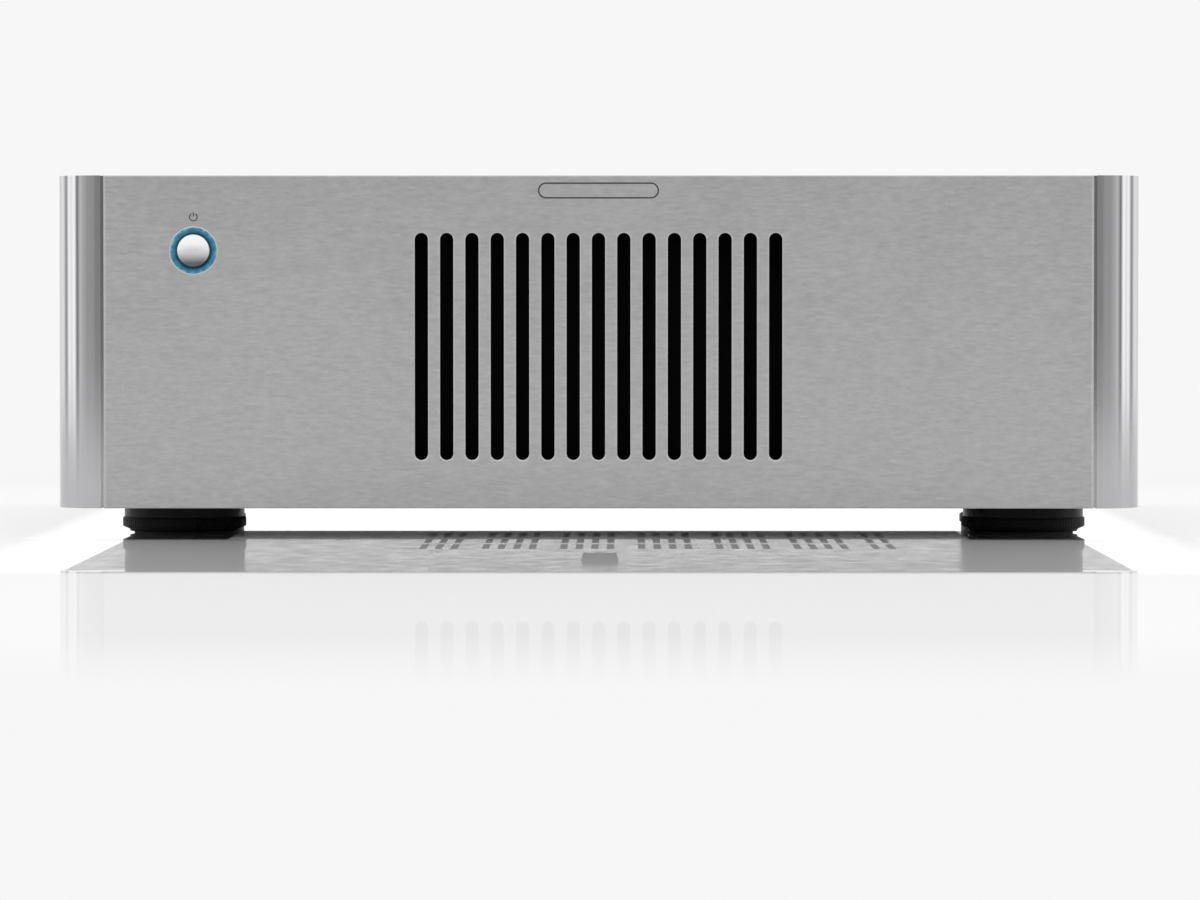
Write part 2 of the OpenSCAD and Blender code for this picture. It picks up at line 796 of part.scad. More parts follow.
// A lead along legs that are square to each other
module lead(start, legs, r) {
    for (i = [0:len(legs) - 1]) {
        a = legs[i][0];
        translate(leg_start(start, legs, i)) {
            rotate([0, acos(a[2]), atan2(a[1], a[0])]) cylinder(r = r, h = legs[i][1]);
            if (i < len(legs) - 1) translate(a * legs[i][1]) lead_turn(a, legs[i + 1][0], r);
        }
    }
}

// The mains lead runs along the left side of the floor from the inlet to the switch's board
module mains_lead() {
    r = 3;
    start = [inlet_at[0] + pin_at[2][0], y_rear - pin_tail,
             z_bot + inlet_at[1] + inlet_cavity_z + pin_at[2][1]];
    low = z_floor + r + 0.1;
    board_back = switch_y + switch_size[1] + board_t;
    first = 6;
    last = 5;
    color("black") lead(start, [
        [-BACK, first],
        [-UP, start[2] - low - 2 * lead_bend],
        [-BACK, start[1] - first - last - 4 * lead_bend - board_back],
        [UP, z_bot + button_z - 10 - low - 2 * lead_bend],
        [-BACK, last]
    ], r);
}

// A speaker lead from a post's tail to the terminal block on its channel's board
module speaker_lead(post, block_x) {
    side = block_x > post_x[post] ? RIGHT : -RIGHT;
    start = [post_x[post], y_rear - post_tail, z_bot + post_z];
    last = 3;
    block_y = at_depth(sink_d0 + amp_board_y + amp_board_l);
    color("firebrick") lead(start, [
        [-BACK, start[1] - block_y - 2 * lead_bend - last],
        [side, abs(block_x - post_x[post]) - 2 * lead_bend],
        [-BACK, last]
    ], 1.6);
}

// A lead from the transformer's top to the top of a rectifier
module secondary_lead(x0, x1) {
    y0 = at_depth(toroid_mid[1]) + sqrt(pow(toroid_lead_r, 2) - pow(x0, 2));
    y1 = at_depth(sink_d0) - rectifier[1] / 2;
    z0 = z_floor + toroid_pad_h + toroid_h;
    first = 4;
    down = z0 + first - rectifier_z - rectifier[2];
    color("orange")
        if (x0 == x1)
            lead([x0, y0, z0], [[UP, first], [BACK, y1 - y0 - 2 * lead_bend], [-UP, down]], 1.6);
        else
            lead([x0, y0, z0], [[UP, first], [BACK, y1 - y0 - 2 * lead_bend],
                                [RIGHT, x1 - x0 - 2 * lead_bend], [-UP, down]], 1.6);
}

module internal_leads() {
    block_out = transistor[0] + board_t + terminal / 2;
    mains_lead();
    speaker_lead(0, sink_right_x + block_out);
    speaker_lead(2, sink_left_x - block_out);
    secondary_lead(-38, -38);
    secondary_lead(38, sink_right_x - 20);
}

// ---------------------------------------------------------------- rear connectors

module rca_jacks() {
    color("gold") for (p = rca_at) difference() {
        union() {
            rod_y(p[0], y_rear, z_bot + p[1], rca_r, rca_len);
            rod_y(p[0], y_rear, z_bot + p[1], 6, 1.5);
            rod_y(p[0], y_in - 12, z_bot + p[1], 3.9, 12 + rear_t + eps);
        }
        rod_y(p[0], y_rear + rca_len - 13, z_bot + p[1], 1.65, 14);
    }
}

// A three-pole socket with an oblong flange, and a round insert that stands on its floor
module xlr_socket(place) {
    z = z_bot + place[1];
    body_r = xlr_hole_r - 0.2;
    window = latch_size + [2 * latch_play, 2 * latch_play];
    color("black") difference() {
        union() {
            block([place[0] - xlr_flange[0] / 2, y_rear, z - xlr_flange[1] / 2],
                  [place[0] + xlr_flange[0] / 2, y_rear + xlr_flange_t, z + xlr_flange[1] / 2]);
            rod_y(place[0], y_rear - xlr_body_d, z, body_r, xlr_body_d + eps);
            block([place[0] - 4, y_rear - 12, z + 8], [place[0] + 4, y_rear + eps, z + 14.8]);
        }
        rod_y(place[0], y_rear + xlr_flange_t - xlr_depth, z, xlr_cavity_r, xlr_depth + 1);
        block([place[0] - window[0] / 2, y_rear - 8, z + latch_z - window[1] / 2],
              [place[0] + window[0] / 2, y_rear + 3, z + latch_z + window[1] / 2]);
        for (s = [-1, 1]) rod_y(place[0] + s * 9.5, y_rear - 1, z - s * 12, 1.6, 4);
    }
    xlr_insert(place);
}

module xlr_insert(place) {
    seat = 0.05;
    floor_y = y_rear + xlr_flange_t - xlr_depth + seat;
    z = z_bot + place[1];
    color("black") difference() {
        rod_y(place[0], floor_y, z, xlr_insert_r, y_rear + 1 - floor_y);
        for (a = [90, 210, 330])
            rod_y(place[0] + 4.2 * cos(a), y_rear - 10, z - 4.2 * sin(a), 1.3, 14);
    }
}

module xlr_socket_left() {
    xlr_socket(xlr_at[0]);
}

module xlr_socket_right() {
    xlr_socket(xlr_at[1]);
}

module xlr_latch(place) {
    z = z_bot + place[1] + latch_z;
    y_front = y_rear + xlr_flange_t + latch_proud;
    color("silver") block([place[0] - latch_size[0] / 2, y_rear - 6, z - latch_size[1] / 2],
                          [place[0] + latch_size[0] / 2, y_front, z + latch_size[1] / 2]);
}

module xlr_latch_left() {
    xlr_latch(xlr_at[0]);
}

module xlr_latch_right() {
    xlr_latch(xlr_at[1]);
}

// A slide switch behind the rear panel; its knob stands out through the slot
module selector_switch() {
    x = selector_at[0];
    z = z_bot + selector_at[1];
    half_w = selector_window[0] / 2;
    color("dimgray") difference() {
        block([x - 10, y_in - 9, z - 4], [x + 10, y_in, z + 4]);
        block([x - half_w, y_in - 5, z - 2.4], [x + half_w, y_in + 1, z + 2.4]);
    }
}

module selector_knob() {
    x = selector_at[0] + selector_knob_x;
    z = z_bot + selector_at[1];
    color("black") block([x - 3, y_in - 4.5, z - 2.2], [x + 3, y_rear + 2.6, z + 2.2]);
}

module trigger_jacks() {
    color("black") for (p = trigger_at) difference() {
        union() {
            rod_y(p[0], y_in - eps, z_bot + p[1], trigger_r, rear_t + 3.2);
            rod_y(p[0], y_rear, z_bot + p[1], 4.6, 1.8);
            block([p[0] - 5.5, y_in - 12, z_bot + p[1] - 4.5], [p[0] + 5.5, y_in, z_bot + p[1] + 4.5]);
        }
        rod_y(p[0], y_rear - 11, z_bot + p[1], trigger_bore_r, 16);
    }
}

module inlet_pin(p) {
    x = inlet_at[0] + p[0];
    z = z_bot + inlet_at[1] + inlet_cavity_z + p[1];
    y0 = y_rear - pin_tail;
    y1 = y_rear + inlet_flange_t - cavity_floor + p[2];
    block([x - pin_size[0] / 2, y0, z - pin_size[1] / 2], [x + pin_size[0] / 2, y1, z + pin_size[1] / 2]);
}

module inlet_pins() {
    color("silver") for (p = pin_at) inlet_pin(p);
}

module ac_inlet() {
    x = inlet_at[0];
    z = z_bot + inlet_at[1];
    y_front = y_rear + inlet_flange_t;
    pocket = drawer_size + [2 * drawer_play, 2 * drawer_play];
    color([0.06, 0.06, 0.06]) difference() {
        union() {
            block([x - inlet_flange[0] / 2, y_rear, z - inlet_flange[1] / 2],
                  [x + inlet_flange[0] / 2, y_front, z + inlet_flange[1] / 2]);
            block([x - inlet_body[0] / 2, y_rear - 24, z - inlet_body[1] / 2],
                  [x + inlet_body[0] / 2, y_rear + eps, z + inlet_body[1] / 2]);
        }
        block([x - inlet_cavity[0] / 2, y_front - cavity_floor, z + inlet_cavity_z - inlet_cavity[1] / 2],
              [x + inlet_cavity[0] / 2, y_front + 1, z + inlet_cavity_z + inlet_cavity[1] / 2]);
        block([x - pocket[0] / 2, y_front - drawer_depth - 0.3, z + drawer_z - pocket[1] / 2],
              [x + pocket[0] / 2, y_front + 1, z + drawer_z + pocket[1] / 2]);
        for (p = pin_at) inlet_pin(p);
    }
}

// A drawer with a finger lip, a cradle for the working fuse and a closed box for the spare
module fuse_drawer() {
    x = inlet_at[0];
    z = z_bot + inlet_at[1] + drawer_z;
    y_front = y_rear + inlet_flange_t;
    color([0.1, 0.1, 0.1]) difference() {
        union() {
            block([x - drawer_size[0] / 2, y_front - drawer_depth, z - drawer_size[1] / 2],
                  [x + drawer_size[0] / 2, y_front + 0.8, z + drawer_size[1] / 2]);
            block([x - 7, y_front + 0.7, z + drawer_size[1] / 2 - 2],
                  [x + 7, y_front + 2.4, z + drawer_size[1] / 2]);
        }
        block([x - 10.2, y_front - 19, z - 2.7], [x + 10.2, y_front - 13.6, z + 4]);
    }
}

module fuse() {
    x = inlet_at[0];
    z = z_bot + inlet_at[1] + drawer_z;
    color("lightcyan") translate([x - 10, y_rear + inlet_flange_t - 16.3, z]) rotate([0, 90, 0])
        cylinder(r = 2.6, h = 20);
}

// ---------------------------------------------------------------- speaker posts

module post_bases() {
    color("black") for (x = post_x) difference() {
        union() {
            rod_y(x, y_rear, z_bot + post_z, post_base_r, post_base_h);
            rod_y(x, y_in - 3, z_bot + post_z, post_bush_r, rear_t + 3 + eps);
        }
        rod_y(x, y_in - 5, z_bot + post_z, post_stud_r, 20);
    }
}

module post_studs() {
    end = post_end - 1.5;
    color("gold") for (x = post_x) difference() {
        union() {
            rod_y(x, y_rear - post_tail, z_bot + post_z, post_stud_r, end - y_rear + post_tail);
            rod_y(x, y_in - 3 - 2, z_bot + post_z, 5.5, 2);
        }
        rod_y(x, end - post_socket_depth, z_bot + post_z, post_socket_dia / 2, post_socket_depth + 1);
    }
}

module post_washer(i) {
    color("gold") difference() {
        rod_y(post_x[i], y_rear + post_base_h, z_bot + post_z, 6.4, post_washer_h);
        rod_y(post_x[i], y_rear, z_bot + post_z, post_stud_r + 0.08, 12);
    }
}

module post_cap(i, shade) {
    start = y_rear + post_base_h + post_washer_h;
    flutes = 16;
    flute_r = 0.9;
    r = post_cap_dia / 2;
    flute_mid = r + 0.35;
    z = z_bot + post_z;
    color(shade) difference() {
        rod_y(post_x[i], start, z, r, post_end - start);
        rod_y(post_x[i], start - 1, z, post_stud_r + 0.08, post_end - start + 2);
        for (k = [0:flutes - 1]) {
            a = 360 * k / flutes;
            rod_y(post_x[i] + flute_mid * cos(a), start + 4, z + flute_mid * sin(a), flute_r, 30);
        }
    }
}

front_panel();
end_cap_left();
end_cap_right();
panel_spacers();
front_subpanel();
vent_screen();
bottom_plate();
top_cover();
rear_panel();
foot_front_left();
foot_front_right();
foot_rear_left();
foot_rear_right();
foot_pads();
foot_screws();
power_button();
button_stem();
light_ring();
power_switch();
switch_board();
toroid_winding();
toroid_core();
toroid_pads();
toroid_clamp_plate();
toroid_bolt();
reservoir_capacitors();
supply_board();
rectifiers();
heat_sink_left();
heat_sink_right();
amp_board_left();
amp_board_right();
output_transistors();
standby_board();
input_board();
board_standoffs();
internal_leads();
rca_jacks();
xlr_socket_left();
xlr_socket_right();
xlr_latch_left();
xlr_latch_right();
selector_switch();
selector_knob();
trigger_jacks();
ac_inlet();
inlet_pins();
fuse_drawer();
fuse();
post_bases();
post_studs();
post_cap(0, "crimson");  // post_cap_left_plus
post_cap(1, "black");  // post_cap_left_minus
post_cap(2, "crimson");  // post_cap_right_plus
post_cap(3, "black");  // post_cap_right_minus
post_washer(0);  // post_washer_left_plus
post_washer(1);  // post_washer_left_minus
post_washer(2);  // post_washer_right_plus
post_washer(3);  // post_washer_right_minus
case_screws();
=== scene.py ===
"""The looks of the stereo power amplifier: its finishes, its small details, the studio and the camera.

Lengths are in metres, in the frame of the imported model: X to the right, Y from front to back, Z up.
"""
import json
import math

import bmesh
import bpy
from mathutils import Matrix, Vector


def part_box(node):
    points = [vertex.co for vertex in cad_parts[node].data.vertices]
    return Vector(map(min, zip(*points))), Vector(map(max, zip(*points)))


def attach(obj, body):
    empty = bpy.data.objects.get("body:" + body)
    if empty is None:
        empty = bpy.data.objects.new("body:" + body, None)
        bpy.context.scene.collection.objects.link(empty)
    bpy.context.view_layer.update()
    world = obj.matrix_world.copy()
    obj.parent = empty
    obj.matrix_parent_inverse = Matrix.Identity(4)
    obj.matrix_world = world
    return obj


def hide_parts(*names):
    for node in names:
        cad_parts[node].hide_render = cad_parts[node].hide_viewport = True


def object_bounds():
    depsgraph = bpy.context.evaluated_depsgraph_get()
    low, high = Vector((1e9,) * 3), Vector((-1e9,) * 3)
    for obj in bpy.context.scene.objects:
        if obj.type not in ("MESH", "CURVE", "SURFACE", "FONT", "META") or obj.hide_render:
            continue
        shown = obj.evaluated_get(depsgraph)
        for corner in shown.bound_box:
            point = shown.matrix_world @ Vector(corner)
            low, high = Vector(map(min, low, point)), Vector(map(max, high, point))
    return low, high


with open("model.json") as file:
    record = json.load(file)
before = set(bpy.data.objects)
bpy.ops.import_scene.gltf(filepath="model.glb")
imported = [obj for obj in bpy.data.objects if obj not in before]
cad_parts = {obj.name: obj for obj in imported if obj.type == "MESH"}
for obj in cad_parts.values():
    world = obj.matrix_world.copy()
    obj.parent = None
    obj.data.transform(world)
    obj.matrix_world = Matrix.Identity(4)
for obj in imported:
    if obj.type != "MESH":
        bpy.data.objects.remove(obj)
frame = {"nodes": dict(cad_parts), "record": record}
cad_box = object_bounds()

MM = 0.001
NODES = frame["nodes"]
ROOT = "chassis"


# ---------------------------------------------------------------- places, read from the frame

def middle(node):
    """The middle of a CAD node's box."""
    low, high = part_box(node)
    return (low + high) / 2


def size(node):
    """The three sides of a CAD node's box."""
    low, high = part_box(node)
    return high - low


PANEL_LOW, PANEL_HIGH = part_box("front_panel")
FACE_Y = PANEL_LOW.y                        # the front panel's face
REAR_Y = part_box("rear_panel")[1].y          # the rear panel's face
BUTTON = middle("power_button")
RING_FLANGE = 1.6 * MM                      # how far the light ring's flange reaches past its lens
RING_R = size("light_ring").x / 2 - RING_FLANGE


# ---------------------------------------------------------------- node helpers

def tone_ramp(tree, value, stops):
    """A colour ramp over value. stops are pairs of a position and a tone: one number, or three of them."""
    ramp = tree.nodes.new("ShaderNodeValToRGB")
    tree.links.new(value, ramp.inputs["Fac"])
    elements = ramp.color_ramp.elements
    while len(elements) < len(stops):
        elements.new(0.5)
    for element, (position, tone) in zip(elements, stops):
        element.position = position
        element.color = (*(tone if isinstance(tone, tuple) else (tone,) * 3), 1.0)
    return ramp.outputs["Color"]


class Finish:
    """A Principled material that is built up node by node."""

    def __init__(self, name, color, metallic=0.0, roughness=0.5, **constants):
        self.material = bpy.data.materials.new(name)
        self.material.use_nodes = True
        self.tree = self.material.node_tree
        self.shader = self.tree.nodes["Principled BSDF"]
        self.color = (*color, 1.0)
        self.roughness = roughness
        self.set(Metallic=metallic, Roughness=roughness, **constants)
        self.shader.inputs["Base Color"].default_value = self.color
        self.coords = self.node("ShaderNodeTexCoord").outputs["Object"]
        self.material.diffuse_color = self.color

    def set(self, **values):
        """Sets the shader's own sockets. An underscore in a name stands for a space."""
        for name, value in values.items():
            self.shader.inputs[name.replace("_", " ")].default_value = value

    def node(self, kind, **inputs):
        """A new node, with each input linked or set. An underscore in a name stands for a space."""
        made = self.tree.nodes.new(kind)
        for name, value in inputs.items():
            socket = made.inputs[name.replace("_", " ")]
            if isinstance(value, bpy.types.NodeSocket):
                self.tree.links.new(value, socket)
            else:
                socket.default_value = value
        return made

    def link(self, output, name):
        self.tree.links.new(output, self.shader.inputs[name])

    def noise(self, scale, detail=3.0, roughness=0.5, stretch=(1, 1, 1)):
        """Noise over the object's own coordinates: scale features a metre, times stretch on each axis."""
        mapping = self.node("ShaderNodeMapping", Vector=self.coords, Scale=stretch)
        made = self.node("ShaderNodeTexNoise", Vector=mapping.outputs[0], Scale=scale, Detail=detail)
        made.inputs["Roughness"].default_value = roughness
        return made.outputs["Fac"]

    def remap(self, value, low, high, source=(0.3, 0.7)):
        """value, from the range source, to the range low to high."""
        made = self.node("ShaderNodeMapRange", Value=value)
        made.inputs["From Min"].default_value, made.inputs["From Max"].default_value = source
        made.inputs["To Min"].default_value, made.inputs["To Max"].default_value = low, high
        return made.outputs[0]

    def math(self, operation, a, b=0.0):
        """The output of a math node over two values, which may be sockets or numbers."""
        made = self.tree.nodes.new("ShaderNodeMath")
        made.operation = operation
        for socket, value in zip(made.inputs, (a, b)):
            if isinstance(value, bpy.types.NodeSocket):
                self.tree.links.new(value, socket)
            else:
                socket.default_value = value
        return made.outputs[0]

    def blend(self, a, b, share):
        """a and b added together, share of it being b."""
        return self.math("ADD", self.math("MULTIPLY", a, 1 - share), self.math("MULTIPLY", b, share))

    def vary_color(self, factor, other):
        """The base colour goes from this finish's own colour to other as factor goes from 0 to 1."""
        mix = self.tree.nodes.new("ShaderNodeMix")
        mix.data_type = "RGBA"
        mix.inputs["A"].default_value = self.color
        mix.inputs["B"].default_value = (*other, 1.0)
        self.tree.links.new(factor, mix.inputs["Factor"])
        self.link(mix.outputs["Result"], "Base Color")

    def vary_roughness(self, factor, spread):
        """The roughness goes spread under and over this finish's own roughness as factor changes."""
        self.link(self.remap(factor, self.roughness - spread, self.roughness + spread), "Roughness")

    def bump(self, height, depth):
        """A bump of depth metres where height goes from 0 to 1."""
        made = self.node("ShaderNodeBump", Height=height, Strength=1.0, Distance=depth)
        self.link(made.outputs[0], "Normal")


# ---------------------------------------------------------------- finishes

def brushed_aluminium(name, color):
    """Anodised aluminium with a fine grain brushed along X, in short streaks under a millimetre high."""
    finish = Finish(name, color, metallic=1.0, roughness=0.36)
    streak = finish.noise(850, detail=3.0, roughness=0.6, stretch=(0.28, 1.0, 1.0))
    hair = finish.noise(5200, detail=2.0, roughness=0.6, stretch=(0.05, 1.0, 1.0))
    cloud = finish.noise(26, detail=2.0)
    grain = finish.blend(streak, hair, 0.35)
    finish.vary_color(finish.remap(grain, 0.0, 1.0, (0.34, 0.66)), [c * 1.215 for c in color])
    finish.vary_roughness(finish.blend(grain, cloud, 0.4), 0.035)
    finish.bump(grain, 0.004 * MM)
    return finish.material


def satin_aluminium(name, color, roughness=0.10):
    """Satin anodised extrusion, with the faint lines of the die along Z."""
    finish = Finish(name, color, metallic=1.0, roughness=roughness)
    line = finish.noise(1800, detail=2.0, stretch=(1.0, 1.0, 0.004))
    cloud = finish.noise(30, detail=3.0)
    finish.vary_roughness(cloud, 0.02)
    finish.vary_color(finish.remap(line, 0.0, 1.0), [c * 1.04 for c in color])
    finish.bump(line, 0.0006 * MM)
    return finish.material


def pearl_button(name="button_metal"):
    """Blasted and lacquered metal, almost white, greyed along the lower edge by painted shade."""
    finish = Finish(name, (0.92, 0.92, 0.93), metallic=0.45, roughness=0.3)
    finish.set(Coat_Weight=0.35, Coat_Roughness=0.16)
    low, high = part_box("power_button")
    height = finish.node("ShaderNodeSeparateXYZ", Vector=finish.coords).outputs["Z"]
    reach = high.z - low.z
    fine = finish.noise(4200, detail=2.0)
    # The lower part of the dome is painted darker by height: painted shade where the dome faces down.
    painted_shade = finish.remap(height, 1.0, 0.0, (low.z + 0.12 * reach, low.z + 0.56 * reach))
    finish.vary_color(finish.math("MULTIPLY", painted_shade, finish.remap(fine, 0.96, 1.0)), (0.10, 0.11, 0.12))
    finish.vary_roughness(fine, 0.02)
    finish.bump(fine, 0.0005 * MM)
    return finish.material


def zinc_steel(name="zinc_steel"):
    """Zinc-plated sheet: pale, slightly blue, with the faint clouds of the plating."""
    finish = Finish(name, (0.55, 0.56, 0.58), metallic=1.0, roughness=0.2)
    finish.set(Specular_Tint=(0.66, 0.66, 0.67, 1.0))
    cloud = finish.noise(90, detail=5.0, roughness=0.6)
    fine = finish.noise(1800, detail=2.0)
    finish.vary_color(finish.remap(cloud, 0.0, 1.0), (0.62, 0.62, 0.61))
    finish.vary_roughness(cloud, 0.07)
    finish.bump(fine, 0.0015 * MM)
    return finish.material


def textured_paint(name, color, grain=1500, depth=0.03):
    """Powder coat with a fine even texture."""
    finish = Finish(name, color, metallic=0.55, roughness=0.46, Specular_IOR_Level=0.5)
    fine = finish.noise(grain, detail=3.0, roughness=0.6)
    cloud = finish.noise(14, detail=2.0)
    finish.vary_color(finish.remap(fine, 0.0, 1.0), [c * 1.16 for c in color])
    finish.vary_roughness(cloud, 0.04)
    finish.bump(fine, depth * MM)
    return finish.material


def moulded_plastic(name, color, roughness=0.32, grain=1400, depth=0.012, clear=0.0, gloss=0.5):
    finish = Finish(name, color, roughness=roughness, Specular_IOR_Level=gloss)
    finish.set(Coat_Weight=clear, Coat_Roughness=0.12)
    fine = finish.noise(grain, detail=2.0)
    cloud = finish.noise(60, detail=3.0)
    finish.vary_color(finish.remap(cloud, 0.0, 1.0), [min(1.0, c * 1.3 + 0.002) for c in color])
    finish.vary_roughness(cloud, 0.05)
    finish.bump(fine, depth * MM)
    return finish.material


def rubber(name="pad_rubber"):
    finish = Finish(name, (0.018, 0.018, 0.018), roughness=0.78)
    fine = finish.noise(2200, detail=4.0)
    finish.vary_color(finish.remap(fine, 0.0, 1.0), (0.035, 0.035, 0.034))
    finish.bump(fine, 0.03 * MM)
    return finish.material


def polished_metal(name, color, roughness=0.18):
    finish = Finish(name, color, metallic=1.0, roughness=roughness)
    cloud = finish.noise(220, detail=4.0)
    finish.vary_roughness(cloud, 0.05)
    finish.vary_color(finish.remap(cloud, 0.0, 1.0), [min(1.0, c * 1.08) for c in color])
    finish.bump(finish.noise(5200, detail=1.0), 0.001 * MM)
    return finish.material


def board(name="board_green"):
    """Solder mask over tracks, seen as slightly lighter lines."""
    finish = Finish(name, (0.012, 0.09, 0.045), roughness=0.33)
    brick = finish.node("ShaderNodeTexBrick", Vector=finish.coords, Scale=120.0)
    brick.inputs["Mortar Size"].default_value = 0.06
    finish.vary_color(brick.outputs["Fac"], (0.03, 0.17, 0.08))
    finish.bump(brick.outputs["Fac"], 0.03 * MM)
    return finish.material


def winding_tape(name="winding_tape"):
    """Yellow polyester tape wound radially, seen as overlapping strips."""
    finish = Finish(name, (0.62, 0.46, 0.07), roughness=0.28)
    centre = middle("toroid_winding")
    shifted = finish.node("ShaderNodeVectorMath", Vector=finish.coords)
    shifted.operation = "SUBTRACT"
    shifted.inputs[1].default_value = centre
    split = finish.node("ShaderNodeSeparateXYZ", Vector=shifted.outputs[0])
    angle = finish.math("ARCTAN2", split.outputs["Y"], split.outputs["X"])
    strip = finish.math("FRACT", finish.math("MULTIPLY", angle, 60 / math.tau))
    finish.vary_color(finish.math("GREATER_THAN", strip, 0.86), (0.45, 0.31, 0.04))
    finish.bump(strip, 0.08 * MM)
    return finish.material


def perforated_screen(name="screen_black"):
    """Black sheet with a close pattern of round holes, bumped in and darkened with painted shade as darker
    spots.
    """
    pitch = 2.0 * MM
    finish = Finish(name, (0.0005, 0.0005, 0.0005), roughness=0.7, Specular_IOR_Level=0.08)
    cell = finish.node("ShaderNodeTexVoronoi", Vector=finish.coords, Scale=1 / pitch, Randomness=0.0)
    hole_with_painted_shade = finish.remap(cell.outputs["Distance"], 0.0, 1.0, (0.28, 0.34))
    # The holes are not cut: their darker colour is painted shade.
    finish.vary_color(hole_with_painted_shade, (0.002, 0.002, 0.002))
    finish.bump(hole_with_painted_shade, 0.3 * MM)
    return finish.material


def lit_ring(name="ring_blue"):
    """Translucent blue moulding, lit from behind, with painted shade making it dark beside the button,
    brighter and uneven outwards.
    """
    finish = Finish(name, (0.012, 0.07, 0.11), roughness=0.2, Coat_Weight=0.3, Coat_Roughness=0.1)
    inner, outer = size("power_button").x / 2, RING_R
    shifted = finish.node("ShaderNodeVectorMath", Vector=finish.coords)
    shifted.operation = "SUBTRACT"
    shifted.inputs[1].default_value = BUTTON
    flat = finish.node("ShaderNodeVectorMath", Vector=shifted.outputs[0])
    flat.operation = "MULTIPLY"
    flat.inputs[1].default_value = (1, 0, 1)
    length = finish.node("ShaderNodeVectorMath", Vector=flat.outputs[0])
    length.operation = "LENGTH"
    across = finish.remap(length.outputs["Value"], 0.0, 1.0, (inner, outer))
    spots = finish.remap(finish.noise(420, detail=2.0), 0.62, 1.3)
    # The emission is the ring's own light, with painted shade taking it to near black beside the button.
    glow_and_painted_shade = tone_ramp(finish.tree, finish.math("MULTIPLY", across, spots), [
        (0.0, (0.002, 0.008, 0.022)), (0.25, (0.008, 0.045, 0.09)), (0.55, (0.03, 0.15, 0.24)),
        (0.84, (0.06, 0.26, 0.41)), (1.0, (0.26, 0.50, 0.62)),
    ])
    finish.link(glow_and_painted_shade, "Emission Color")
    finish.set(Emission_Strength=0.7)
    return finish.material


def clear_glass(name="fuse_glass"):
    finish = Finish(name, (0.93, 0.98, 0.98), roughness=0.04, Transmission_Weight=0.9, IOR=1.5)
    finish.vary_roughness(finish.noise(300, detail=2.0), 0.02)
    return finish.material


def ink(name, color):
    """A thin screen-printed mark."""
    finish = Finish(name, color, roughness=0.5)
    fine = finish.noise(2600, detail=2.0)
    finish.vary_color(finish.remap(fine, 0.0, 1.0), [c * 1.3 + 0.01 for c in color])
    finish.bump(fine, 0.004 * MM)
    return finish.material


FINISHES = {
    "brushed_front": brushed_aluminium("brushed_front", (0.508, 0.508, 0.508)),
    "satin_cap": satin_aluminium("satin_cap", (0.50, 0.50, 0.51)),
    "zinc_steel": zinc_steel(),
    "screen_black": perforated_screen(),
    "case_paint": textured_paint("case_paint", (0.42, 0.42, 0.43)),
    "foot_plastic": moulded_plastic("foot_plastic", (0.0095, 0.0095, 0.0095), 0.3, depth=0.004, gloss=0.12),
    "pad_rubber": rubber(),
    "button_metal": pearl_button(),
    "stem_plastic": moulded_plastic("stem_plastic", (0.30, 0.30, 0.31)),
    "ring_blue": lit_ring(),
    "board_green": board(),
    "winding_tape": winding_tape(),
    "core_steel": zinc_steel("core_steel"),
    "can_sleeve": moulded_plastic("can_sleeve", (0.015, 0.022, 0.06), roughness=0.25),
    "chip_black": moulded_plastic("chip_black", (0.02, 0.02, 0.02), roughness=0.5),
    "sink_black": moulded_plastic("sink_black", (0.02, 0.02, 0.021), roughness=0.42, depth=0.004),
    "brass_standoff": polished_metal("brass_standoff", (0.78, 0.57, 0.25), 0.3),
    "lead_sleeve": moulded_plastic("lead_sleeve", (0.16, 0.02, 0.02), roughness=0.4),
    "gold_plate": polished_metal("gold_plate", (0.94, 0.70, 0.30)),
    "socket_black": moulded_plastic("socket_black", (0.016, 0.016, 0.016), roughness=0.42),
    "latch_steel": polished_metal("latch_steel", (0.66, 0.66, 0.65), 0.26),
    "pin_nickel": polished_metal("pin_nickel", (0.74, 0.72, 0.66), 0.2),
    "fuse_glass": clear_glass(),
    "post_red": moulded_plastic("post_red", (0.36, 0.008, 0.012), roughness=0.2, clear=0.6, depth=0.003),
    "post_black": moulded_plastic("post_black", (0.010, 0.010, 0.011), roughness=0.2, clear=0.6, depth=0.003),
}

for part in frame["record"]["subparts"]:
    made = NODES[part["node"]]
    made.data.materials.clear()
    made.data.materials.append(FINISHES[part["material_slot"]])

# The dark ink prints the marks, and it also fills the name bar's groove as painted shade.
DARK_INK_AND_SHADE = ink("dark_ink_and_shade", (0.035, 0.035, 0.036))
WHITE_PLASTIC = moulded_plastic("white_plastic", (0.80, 0.80, 0.78), roughness=0.3)
RED_PLASTIC = moulded_plastic("red_plastic", (0.50, 0.012, 0.014), roughness=0.3)


# ---------------------------------------------------------------- shapes

UP = Vector((0, 0, 1))
BACK = Vector((0, 1, 0))


def piece(name, bm, finish, body=ROOT, replaced=None):
    """A finished piece of the object, from a bmesh in the frame's own coordinates."""
    bmesh.ops.remove_doubles(bm, verts=bm.verts, dist=0.0001 * MM)
    bmesh.ops.recalc_face_normals(bm, faces=bm.faces)
    mesh = bpy.data.meshes.new(name)
    bm.to_mesh(mesh)
    bm.free()
    mesh.materials.append(finish)
    mesh.polygons.foreach_set("use_smooth", [True] * len(mesh.polygons))
    mesh.set_sharp_from_angle(angle=math.radians(35))
    made = bpy.data.objects.new(name, mesh)
    bpy.context.collection.objects.link(made)
    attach(made, body)
    if replaced:
        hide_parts(replaced)
    return made


